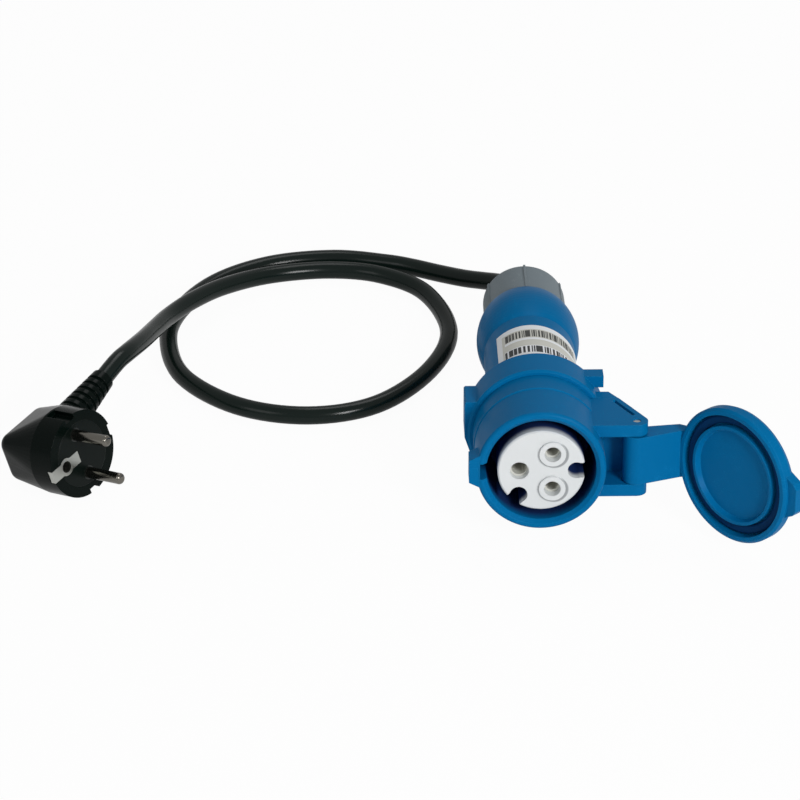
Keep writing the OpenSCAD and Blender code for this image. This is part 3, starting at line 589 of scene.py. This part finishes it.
def finish_materials(finish):
    """Make every material of the adapter once."""
    if MATERIALS:
        return MATERIALS
    MATERIALS.update({
        "housing": plastic_material("blue_housing", finish.housing, 0.38, BLUE_HIGHLIGHT_AND_SCUFF, amount=0.5, scuffs=0.12,
                                    line=(MOUTH, RISE)),
        "lid": plastic_material("blue_lid", finish.housing, 0.36, BLUE_HIGHLIGHT_AND_SCUFF, amount=0.5, scuffs=0.14),
        "mouth": plastic_material("blue_mouth_painted_shade", finish.housing, 0.38, BLUE_HIGHLIGHT_AND_SCUFF, amount=0.5, scuffs=0.12,
                                  depth=finish.depth),
        "insert": plastic_material("pale_insert", finish.insert, 0.5, srgb(236, 238, 238), amount=0.2,
                                   depth=finish.depth, shallow=0.0022, deep=0.0065, holes=CONTACT_SPOTS,
                                   rings=CONTACT_SPOTS[1:], shade=finish.shade),
        "nut": plastic_material("grey_nut", finish.nut, 0.45, srgb(176, 184, 188), scuffs=0.15),
        "plug": plastic_material("black_plug", finish.plug, 0.21, BLACK_HIGHLIGHT_AND_SCUFF, grain=1500.0, bump=0.00001,
                                 specular=0.07, scuffs=0.08, line=(PLUG_FACE, PLUG_RISE)),
        "bridge": plastic_material("black_bridge", finish.plug, 0.3, BLACK_HIGHLIGHT_AND_SCUFF, specular=0.14),
        "sheath": plastic_material("cable_sheath", finish.sheath, 0.2, srgb(50, 55, 55), grain=700.0, amount=0.0,
                                   specular=0.2),
        "rubber": plastic_material("seal_rubber", finish.rubber, 0.6, srgb(40, 42, 46), amount=0.1),
        "gasket": plastic_material("gasket_rubber", finish.gasket, 0.6, srgb(30, 62, 100), amount=0.1),
        "sleeve": metal_material("contact_sleeve", srgb(214, 214, 206), 0.5, metallic=0.25),
        "steel": metal_material("spring_steel", srgb(190, 190, 186), 0.3),
        "pin": metal_material("nickel_pin", finish.pin, 0.18, root=finish.plug),
        "nickel": metal_material("nickel_plate", finish.plate, 0.3),
        "core_brown": plastic_material("core_brown", srgb(96, 56, 30), 0.45, srgb(120, 80, 50)),
        "core_blue": plastic_material("core_blue", srgb(40, 90, 170), 0.45, srgb(80, 120, 190)),
        "core_green": plastic_material("core_green", srgb(120, 150, 40), 0.45, srgb(150, 170, 80)),
        "label": label_material(tuple(finish.label), tuple(finish.label_field), tuple(finish.label_ink)),
    })
    return MATERIALS


NODE_FINISH = {
    "front_housing": "mouth", "rear_housing": "housing", "lid": "lid", "contact_insert": "insert",
    "phase_sleeve": "sleeve", "neutral_sleeve": "sleeve", "earth_sleeve": "sleeve", "terminal_screws": "steel",
    "housing_seal": "rubber", "gland_nut": "nut", "gland_seal": "rubber", "clamp_ring": "nut",
    "phase_core": "core_brown", "neutral_core": "core_blue", "earth_core": "core_green", "hinge_pin": "steel",
    "lid_spring": "steel", "lid_gasket": "gasket", "cable": "sheath", "plug_body": "plug",
    "pin_bridge": "bridge", "line_pin": "pin", "neutral_pin": "pin", "earth_strap": "nickel",
}


def white_share(tree, seen, gloss):
    """How much of the white ground a ray meets: in the picture and through glass, or in a gloss."""
    path = tree.nodes.new("ShaderNodeLightPath")
    clear = math_node(tree, "MAXIMUM", path.outputs["Is Camera Ray"], path.outputs["Is Transmission Ray"])
    clear = math_node(tree, "MULTIPLY", clear, seen)
    glossy = math_node(tree, "MULTIPLY", path.outputs["Is Glossy Ray"], gloss)
    return math_node(tree, "MAXIMUM", clear, glossy)


class ADAPTER_OT_stage(bpy.types.Operator):
    """Make the camera, the pale floor, the lamps and the world."""
    bl_idname = "adapter.stage"
    bl_label = "Stage"

    def execute(self, context):
        context.scene.view_settings.view_transform = "Standard"
        deselect_all()
        self.add_camera(context)
        self.add_floor(context)
        for name, place, power, size in LAMPS:
            bpy.ops.object.light_add(type="AREA", location=place)
            light = context.object
            light.name = name
            light.data.energy = power
            light.data.size = size
            light.rotation_euler = (LAMP_AIM - Vector(place)).to_track_quat("-Z", "Y").to_euler()
        self.add_world(context)
        return {"FINISHED"}

    def add_camera(self, context):
        level = math.cos(CAMERA_ELEVATION)
        away = Vector((-level * math.sin(CAMERA_TURN), -level * math.cos(CAMERA_TURN), math.sin(CAMERA_ELEVATION)))
        bpy.ops.object.camera_add(
            location=CAMERA_TARGET + CAMERA_REACH * away,
            rotation=(math.radians(90.0) - CAMERA_ELEVATION, 0.0, -CAMERA_TURN))
        camera = context.object
        camera.name = "photo_camera"
        camera.data.sensor_width = SENSOR_WIDTH
        camera.data.lens = SENSOR_WIDTH * FOCAL_PIXELS / PICTURE_PIXELS
        camera.data.clip_end = CAMERA_FAR
        context.scene.camera = camera

    def add_floor(self, context):
        bpy.ops.mesh.primitive_plane_add(size=FLOOR_SIZE, location=(0.0, 0.0, -FLOOR_DROP))
        floor = context.object
        floor.name = "floor"
        material, tree, shader = new_material("floor_white")
        shader.inputs["Base Color"].default_value = FLOOR_GREY
        shader.inputs["Roughness"].default_value = FLOOR_ROUGHNESS
        bright = tree.nodes.new("ShaderNodeEmission")
        bright.inputs["Color"].default_value = WHITE
        mix = tree.nodes.new("ShaderNodeMixShader")
        tree.links.new(white_share(tree, FLOOR_SEEN, FLOOR_GLOSS), mix.inputs["Fac"])
        tree.links.new(shader.outputs["BSDF"], mix.inputs[1])
        tree.links.new(bright.outputs["Emission"], mix.inputs[2])
        tree.links.new(mix.outputs["Shader"], tree.nodes["Material Output"].inputs["Surface"])
        floor.data.materials.append(material)

    def add_world(self, context):
        world = bpy.data.worlds.new("studio_world")
        context.scene.world = world
        world.use_nodes = True
        tree = world.node_tree
        ground = tree.nodes["Background"]
        ground.inputs["Color"].default_value = WHITE
        lift = math_node(tree, "MULTIPLY", white_share(tree, 1.0, WORLD_GLOSS), 1.0 - WORLD_LIGHT)
        tree.links.new(math_node(tree, "ADD", lift, WORLD_LIGHT), ground.inputs["Strength"])


class ADAPTER_OT_cable(bpy.types.Operator):
    """Lay the cable on its route from the gland, round the loop and over itself to the plug."""
    bl_idname = "adapter.cable"
    bl_label = "Cable"

    def execute(self, context):
        sizes = context.scene.adapter_sizes
        inner = [MOUTH - OUT * at for at in (CABLE_START, NUT_END, NUT_END + NUT_LEAD)]
        side = math.cos(RELIEF_TURN) * PLUG_RISE.cross(PIN_WAY) + math.sin(RELIEF_TURN) * PLUG_RISE
        along = math.cos(RELIEF_LEAN) * side - math.sin(RELIEF_LEAN) * PIN_WAY
        middle = PLUG_FACE - PIN_WAY * RELIEF_AT
        outer = [middle + along * at for at in (RELIEF_END + RELIEF_LEAD, RELIEF_END - RELIEF_TUCK)]
        line = inner + [ROUTE_ORIGIN + Vector(point) for point in ROUTE] + outer

        def between(index, share):
            """A point on the smooth line through all points, after the point of that index."""
            a, b = line[max(index - 1, 0)], line[index]
            c, d = line[index + 1], line[min(index + 2, len(line) - 1)]
            return 0.5 * (2 * b + (c - a) * share + (2 * a - 5 * b + 4 * c - d) * share ** 2
                          + (3 * b - a - 3 * c + d) * share ** 3)

        points = [between(i, k / ROUTE_STEPS) for i in range(len(line) - 1) for k in range(ROUTE_STEPS)]
        points.append(line[-1])
        curve = bpy.data.curves.new("cable_sheath", "CURVE")
        curve.dimensions = "3D"
        curve.bevel_depth = sizes.cable_diameter / 2
        curve.bevel_resolution = SHEATH_ROUNDS
        curve.use_fill_caps = True
        spline = curve.splines.new("POLY")
        spline.points.add(len(points) - 1)
        for target, point in zip(spline.points, points):
            target.co = (*point, 1.0)
        spline.use_smooth = True
        cable = bpy.data.objects.new("cable_sheath", curve)
        context.collection.objects.link(cable)
        curve.materials.append(finish_materials(context.scene.adapter_finish)["sheath"])
        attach(cable, "connector")
        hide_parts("cable")
        return {"FINISHED"}


class ADAPTER_OT_finishes(bpy.types.Operator):
    """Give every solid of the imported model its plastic, rubber or metal."""
    bl_idname = "adapter.finishes"
    bl_label = "Finishes"

    def execute(self, context):
        materials = finish_materials(context.scene.adapter_finish)
        for name, key in NODE_FINISH.items():
            dress(NODES[name], materials[key])
        return {"FINISHED"}


class ADAPTER_OT_spring(bpy.types.Operator):
    """Copy the lid's torsion spring from the model, merge its doubled points and shade it smooth in steel."""
    bl_idname = "adapter.spring"
    bl_label = "Hinge spring"

    def execute(self, context):
        spring = bpy.data.objects.new("hinge_spring", NODES["lid_spring"].data.copy())
        context.collection.objects.link(spring)
        make_active(spring)
        bpy.ops.object.mode_set(mode="EDIT")
        bpy.ops.mesh.select_all(action="SELECT")
        bpy.ops.mesh.remove_doubles(threshold=MERGE_DISTANCE)
        bpy.ops.object.mode_set(mode="OBJECT")
        bpy.ops.object.shade_smooth_by_angle(angle=SMOOTH_ANGLE)
        dress(spring, finish_materials(context.scene.adapter_finish)["steel"])
        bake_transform(spring)
        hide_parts("lid_spring")
        return {"FINISHED"}


class ADAPTER_OT_label(bpy.types.Operator):
    """Wrap the paper label round the top of the neck."""
    bl_idname = "adapter.label"
    bl_label = "Label"

    def execute(self, context):
        sizes = context.scene.adapter_sizes
        deselect_all()
        bpy.ops.mesh.primitive_cylinder_add(
            vertices=LABEL_VERTICES, radius=sizes.label_radius + sizes.label_paper * LABEL_LIFT,
            depth=sizes.label_length, end_fill_type="NOTHING")
        label = context.object
        bpy.ops.object.mode_set(mode="EDIT")
        mesh = bmesh.from_edit_mesh(label.data)
        for face in mesh.faces:
            spot = face.calc_center_median()
            face.select_set(abs(math.atan2(spot.x, spot.y) - sizes.label_middle) > sizes.label_half)
        bmesh.update_edit_mesh(label.data)
        bpy.ops.mesh.delete(type="FACE")
        bpy.ops.object.mode_set(mode="OBJECT")
        layer = label.data.uv_layers[0]
        for loop in label.data.loops:
            spot = label.data.vertices[loop.vertex_index].co
            layer.data[loop.index].uv = (
                0.5 + (math.atan2(spot.x, spot.y) - sizes.label_middle) / (2 * sizes.label_half),
                0.5 + spot.z / sizes.label_length)
        apply_modifier(label, "SOLIDIFY", thickness=sizes.label_paper, offset=1.0)
        back = sizes.label_front + sizes.label_length / 2
        label.matrix_world = CONNECTOR @ Matrix.Translation((0.0, 0.0, -back))
        material = finish_materials(context.scene.adapter_finish)["label"]
        settle(label, "neck_label", "connector", material)
        bpy.ops.object.shade_smooth_by_angle(angle=SMOOTH_ANGLE)
        return {"FINISHED"}


class ADAPTER_PT_panel(bpy.types.Panel):
    """Sidebar panel with the adapter's pieces in the order they are made."""
    bl_idname = "ADAPTER_PT_panel"
    bl_label = "Adapter lead"
    bl_space_type = "VIEW_3D"
    bl_region_type = "UI"
    bl_category = "Adapter"

    def draw(self, context):
        for operator in OPERATORS:
            self.layout.operator(operator.bl_idname)
        for group in (context.scene.adapter_finish, context.scene.adapter_sizes):
            for name in group.__annotations__:
                self.layout.prop(group, name)


OPERATORS = (ADAPTER_OT_stage, ADAPTER_OT_cable, ADAPTER_OT_finishes, ADAPTER_OT_spring, ADAPTER_OT_label)
CLASSES = (AdapterFinish, AdapterSizes) + OPERATORS + (ADAPTER_PT_panel,)


def register():
    for item in CLASSES:
        bpy.utils.register_class(item)
    bpy.types.Scene.adapter_finish = bpy.props.PointerProperty(type=AdapterFinish)
    bpy.types.Scene.adapter_sizes = bpy.props.PointerProperty(type=AdapterSizes)


def unregister():
    del bpy.types.Scene.adapter_sizes
    del bpy.types.Scene.adapter_finish
    for item in reversed(CLASSES):
        bpy.utils.unregister_class(item)


def main():
    register()
    bpy.ops.adapter.stage()
    bpy.ops.adapter.cable()
    bpy.ops.adapter.finishes()
    bpy.ops.adapter.spring()
    bpy.ops.adapter.label()


if __name__ == "__main__":
    main()
